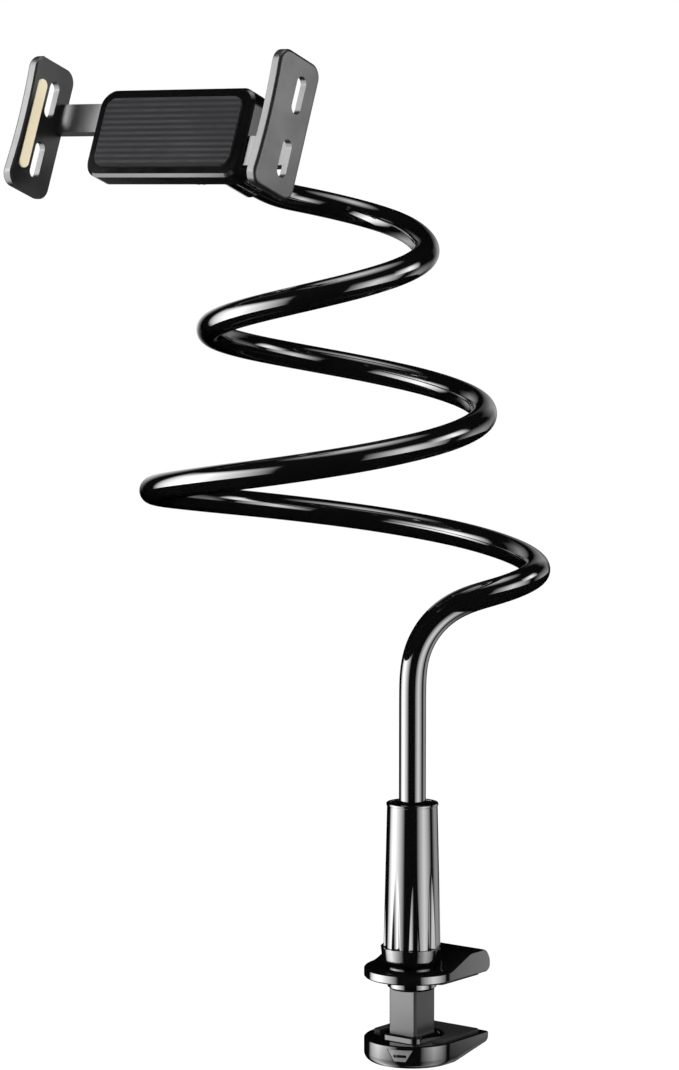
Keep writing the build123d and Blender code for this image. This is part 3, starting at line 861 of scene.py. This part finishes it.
@dataclass(frozen=True)
class Band:
    """One soft band of light on the reflector round the object, brightest at its middle.

    Turns are degrees to the right of the camera, seen from the object. The band fades out over its
    two reaches, left and right, fades in between its two start heights and out between its two end
    heights.
    """

    middle: float
    reach: Pair
    level: float
    start: Pair
    end: Pair
    falloff: float = 0.8

    def glow(self, turn: Points, height: Points) -> Points:
        """Brightness of the band: a power of the share of its reach that is left, faded by height.

        Args:
            turn: Degrees to the right of the camera.
            height: Height above the origin.

        Returns:
            The brightness, where 1 is white.
        """
        reach = np.where(turn < self.middle, *self.reach)
        side = np.clip(1 - np.abs(turn - self.middle) / reach, 0, 1) ** self.falloff
        rise = np.interp(height, self.start, (0.0, 1.0))
        return self.level * side * rise * np.interp(height, self.end, (1.0, 0.0))


@dataclass(frozen=True)
class Lamp:
    """One soft square lamp that faces the object.

    Its turn is in degrees to the right of the camera, seen from the object, and its distance is
    level. It hangs higher than the point it faces by rise for each unit of distance. A level of 1
    makes its face white.
    """

    name: str
    turn: float
    distance: float
    rise: float
    size: float
    level: float


@dataclass
class Studio:
    """Floor, lights and camera.

    axis_offset is where the origin lies from the camera: to the right, down and ahead. The sensor
    is in millimetres. The sky has one level as a light and one as it is seen. Near the object the
    floor has floor_white as its share of pure white, which grows to all of it between the two
    distances of floor_fade. Profiles are pairs of radius and height. Towards the middle the bands
    fall to foot_level between the two radii of foot_fade. The lamps face the post's axis at
    lamp_aim.
    """

    view_azimuth: float = np.radians(38.0)
    view_pitch: float = np.radians(5.6)
    image_height: float = 1070.0
    focal_pixels: float = 3600.0
    axis_offset: Triple = (0.03625, 0.2215, 1.7997)
    sensor: float = 36.0
    clip: Pair = (0.05, 100.0)
    sky_levels: Pair = (0.5, 1.0)
    floor_height: float = -0.073
    floor_reach: float = 40.0
    floor_fade: Pair = (0.15, 0.8)
    floor_white: float = 0.82
    tent_profile: tuple[Pair, ...] = (
        (0.03, -0.0725), (0.28, -0.0725), (0.5, 0.38), (0.66, 0.8), (0.66, 1.0), (0.02, 1.2),
    )
    shelf_profile: tuple[Pair, ...] = ((0.05, 0.185), (0.39, 0.185))
    reflector_columns: int = 180
    reflector_spacing: float = 0.02
    bands: tuple[Band, ...] = (
        Band(middle=-85.0, reach=(34.0, 50.0), level=17.0, start=(-0.2, -0.1), end=(0.45, 0.65)),
        Band(middle=50.0, reach=(32.0, 36.0), level=10.0, start=(-0.2, -0.1), end=(0.38, 0.6)),
        Band(middle=112.0, reach=(17.0, 36.0), level=2.2, start=(-0.2, -0.1), end=(0.2, 0.4)),
        Band(middle=90.0, reach=(22.0, 17.0), level=13.0, start=(0.36, 0.4), end=(0.55, 0.75)),
        Band(middle=-156.0, reach=(20.0, 20.0), level=1.0, start=(0.2, 0.3), end=(0.45, 0.65)),
        Band(middle=156.0, reach=(20.0, 20.0), level=0.7, start=(0.2, 0.3), end=(0.45, 0.65)),
    )
    foot_fade: Pair = (0.13, 0.28)
    foot_level: float = 0.25
    ceiling_height: float = 1.0
    ceiling_reach: float = 0.42
    ceiling_level: float = 8.0
    lamps: tuple[Lamp, ...] = (
        Lamp("left_lamp", turn=-50.0, distance=1.5, rise=1.0, size=1.6, level=5.5),
        Lamp("right_lamp", turn=60.0, distance=1.5, rise=1.0, size=1.6, level=3.7),
    )
    edge_lamp: Lamp = Lamp("edge_lamp", turn=-84.0, distance=0.43, rise=0.86, size=0.28, level=18.0)
    lamp_aim: float = 0.2

    def bearing(self, turn: Points | float) -> Points | float:
        """Angle about +Z, in radians, of a turn in degrees to the right of the camera."""
        return self.view_azimuth - np.pi / 2 + np.radians(turn)

    def camera(self) -> None:
        """Camera at the viewing angle, with the clamp's axis where the picture has it."""
        azimuth, pitch = self.view_azimuth, self.view_pitch
        right = np.array([np.cos(azimuth), np.sin(azimuth), 0.0])
        level = np.array([-np.sin(azimuth), np.cos(azimuth), 0.0])
        ahead = level * np.cos(pitch) - np.array([0.0, 0.0, np.sin(pitch)])
        up = np.cross(right, ahead)
        x, y, depth = self.axis_offset
        data = bpy.data.cameras.new("camera")
        data.sensor_width = self.sensor
        data.lens = self.sensor * self.focal_pixels / self.image_height
        data.clip_start, data.clip_end = self.clip
        camera = bpy.data.objects.new("camera", data)
        camera.matrix_world = placed(right, up, -ahead, -(x * right - y * up + depth * ahead))
        bpy.context.scene.collection.objects.link(camera)
        bpy.context.scene.camera = camera

    @staticmethod
    def seen(tree: bpy.types.NodeTree) -> bpy.types.NodeSocket:
        """One for camera, glossy and transmission rays, and nought for the rest.

        Args:
            tree: Node tree to add to.

        Returns:
            The value's socket.
        """
        path = tree.nodes.new("ShaderNodeLightPath")
        some = tree.nodes.new("ShaderNodeMath")
        some.operation = "MAXIMUM"
        every = tree.nodes.new("ShaderNodeMath")
        every.operation = "MAXIMUM"
        tree.links.new(path.outputs["Is Camera Ray"], some.inputs[0])
        tree.links.new(path.outputs["Is Glossy Ray"], some.inputs[1])
        tree.links.new(some.outputs[0], every.inputs[0])
        tree.links.new(path.outputs["Is Transmission Ray"], every.inputs[1])
        return every.outputs[0]

    def world(self) -> None:
        """White surroundings for the eye, and a softer even light on the object."""
        world = bpy.data.worlds.new("studio")
        world.use_nodes = True
        tree = world.node_tree
        sky = tree.nodes["Background"]
        sky.inputs["Color"].default_value = WHITE
        level = tree.nodes.new("ShaderNodeMapRange")
        level.inputs["To Min"].default_value = self.sky_levels[0]
        level.inputs["To Max"].default_value = self.sky_levels[1]
        tree.links.new(self.seen(tree), level.inputs["Value"])
        tree.links.new(level.outputs["Result"], sky.inputs["Strength"])
        bpy.context.scene.world = world

    @staticmethod
    def bare_material(name: str) -> bpy.types.Material:
        """A new material whose node tree is still empty.

        Args:
            name: Name of the material.

        Returns:
            The material.
        """
        made = bpy.data.materials.new(name)
        made.use_nodes = True
        made.node_tree.nodes.clear()
        return made

    def floor_paint(self) -> bpy.types.Material:
        """White paint that takes a shadow, blended into a pure white glow further out.

        Returns:
            The floor's material.
        """
        made = self.bare_material("floor")
        tree = made.node_tree
        paint = tree.nodes.new("ShaderNodeBsdfDiffuse")
        paint.inputs["Color"].default_value = WHITE
        glow = tree.nodes.new("ShaderNodeEmission")
        blend = tree.nodes.new("ShaderNodeMixShader")
        share = tree.nodes.new("ShaderNodeMath")
        share.operation = "MULTIPLY"
        place = tree.nodes.new("ShaderNodeTexCoord")
        away = tree.nodes.new("ShaderNodeVectorMath")
        away.operation = "LENGTH"
        far = tree.nodes.new("ShaderNodeMapRange")
        far.inputs["From Min"].default_value = self.floor_fade[0]
        far.inputs["From Max"].default_value = self.floor_fade[1]
        far.inputs["To Min"].default_value = self.floor_white
        end = tree.nodes.new("ShaderNodeOutputMaterial")
        tree.links.new(place.outputs["Object"], away.inputs[0])
        tree.links.new(away.outputs["Value"], far.inputs["Value"])
        tree.links.new(far.outputs["Result"], share.inputs[1])
        tree.links.new(self.seen(tree), share.inputs[0])
        tree.links.new(share.outputs[0], blend.inputs["Fac"])
        tree.links.new(paint.outputs["BSDF"], blend.inputs[1])
        tree.links.new(glow.outputs["Emission"], blend.inputs[2])
        tree.links.new(blend.outputs["Shader"], end.inputs["Surface"])
        return made

    def floor(self) -> None:
        """Wide floor of four squares that meet under the object."""
        line = np.linspace(-self.floor_reach, self.floor_reach, 3)
        x, y = np.meshgrid(line, line)
        points = np.stack([x, y, np.full_like(x, self.floor_height)], -1).reshape(-1, 3)
        first_corner = np.array([0, 1, 3, 4])[:, None]
        quads = first_corner + np.array([0, 1, 4, 3])
        mesh = bpy.data.meshes.new("floor")
        mesh.from_pydata(points, [], quads.tolist())
        mesh.materials.append(self.floor_paint())
        floor = bpy.data.objects.new("floor", mesh)
        bpy.context.scene.collection.objects.link(floor)

    def glow(self, turn: Points, height: Points, radius: Points) -> Points:
        """Brightness of the reflector that gloss shows: a few soft bands on black.

        The bands fade towards the foot of the object, and a soft round panel lies overhead.

        Args:
            turn: Degrees to the right of the camera, seen from the object.
            height: Height above the origin.
            radius: Distance from the middle.

        Returns:
            The brightness, where 1 is white.
        """
        foot = np.interp(radius, self.foot_fade, (self.foot_level, 1.0))
        sides = sum(band.glow(turn, height) for band in self.bands)
        overhead = np.where(height > self.ceiling_height, 1 - radius / self.ceiling_reach, 0.0)
        return foot * sides + self.ceiling_level * np.clip(overhead, 0, 1)

    def reflector(self, name: str, section: tuple[Pair, ...], lit: bool) -> None:
        """Turn a section about the middle into a reflector that only gloss shows.

        Args:
            name: Name of the reflector.
            section: Radius and height of points along the section.
            lit: Whether the reflector carries the bands, or is black all over.
        """
        turn = np.linspace(-180, 180, self.reflector_columns, endpoint=False)[None, :]
        radius, height = even_line(np.array(section), self.reflector_spacing).T[:, :, None]
        way = self.bearing(turn)
        place = np.broadcast_arrays(radius * np.cos(way), radius * np.sin(way), height)
        reflector = grid_piece(name, np.stack(place, axis=-1))
        glow = reflector.data.attributes.new("glow", "FLOAT", "POINT")
        glow.data.foreach_set("value", (lit * self.glow(turn, height, radius)).ravel())
        cloth = self.bare_material(name)
        tree = cloth.node_tree
        level = tree.nodes.new("ShaderNodeAttribute")
        level.attribute_name = "glow"
        shine = tree.nodes.new("ShaderNodeEmission")
        end = tree.nodes.new("ShaderNodeOutputMaterial")
        tree.links.new(level.outputs["Fac"], shine.inputs["Strength"])
        tree.links.new(shine.outputs["Emission"], end.inputs["Surface"])
        reflector.data.materials.append(cloth)
        reflector.visible_camera = False
        reflector.visible_diffuse = False
        reflector.visible_shadow = False
        reflector.visible_transmission = False

    def hang(self, lamp: Lamp) -> bpy.types.Object:
        """Make a lamp that stays out of the picture and out of reflections.

        Its energy is its level times pi times its area, which gives its face that brightness.

        Args:
            lamp: Place, size and level of the lamp.

        Returns:
            The lamp's object.
        """
        data = bpy.data.lights.new(lamp.name, "AREA")
        data.size = lamp.size
        data.energy = lamp.level * np.pi * lamp.size**2
        hung = bpy.data.objects.new(lamp.name, data)
        way = self.bearing(lamp.turn)
        towards = np.array([np.cos(way), np.sin(way), lamp.rise])
        out = unit(towards)
        across = np.array([-np.sin(way), np.cos(way), 0.0])
        place = towards * lamp.distance + np.array([0.0, 0.0, self.lamp_aim])
        hung.matrix_world = placed(across, np.cross(out, across), out, place)
        hung.visible_camera = False
        hung.visible_glossy = False
        bpy.context.scene.collection.objects.link(hung)
        return hung

    def lights(self) -> None:
        """Soft light on surfaces, more of it from the left, and a shine on the jaws' edges.

        The last lamp is linked to the two side jaws, so that only their satin reflects it.
        """
        for lamp in self.lamps:
            self.hang(lamp)
        shine = self.hang(self.edge_lamp)
        shine.visible_glossy = True
        jaws = bpy.data.collections.new("side_jaws")
        jaws.objects.link(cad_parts["left_jaw"])
        jaws.objects.link(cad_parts["right_jaw"])
        shine.light_linking.receiver_collection = jaws

    def build(self) -> None:
        """Set up the whole studio."""
        bpy.context.scene.view_settings.view_transform = "Standard"
        self.camera()
        self.world()
        self.floor()
        self.reflector("tent", self.tent_profile, lit=True)
        self.reflector("shelf", self.shelf_profile, lit=False)
        self.lights()


def main() -> None:
    """Build the studio and the pieces in order."""
    logging.basicConfig(level=logging.INFO, format="%(message)s")
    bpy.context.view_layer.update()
    Studio().build()
    pieces = [
        Gooseneck().build(),
        HandSleeve().build(),
        JawSpring("left_spring", "left_jaw_slide", anchor_high=True).build(),
        JawSpring("right_spring", "right_jaw_slide", anchor_high=False).build(),
        GripPad().build(),
    ]
    for piece in pieces:
        LOG.info("built %s with %d faces", piece.name, len(piece.data.polygons))
    Parts().dress()


if __name__ == "__main__":
    main()
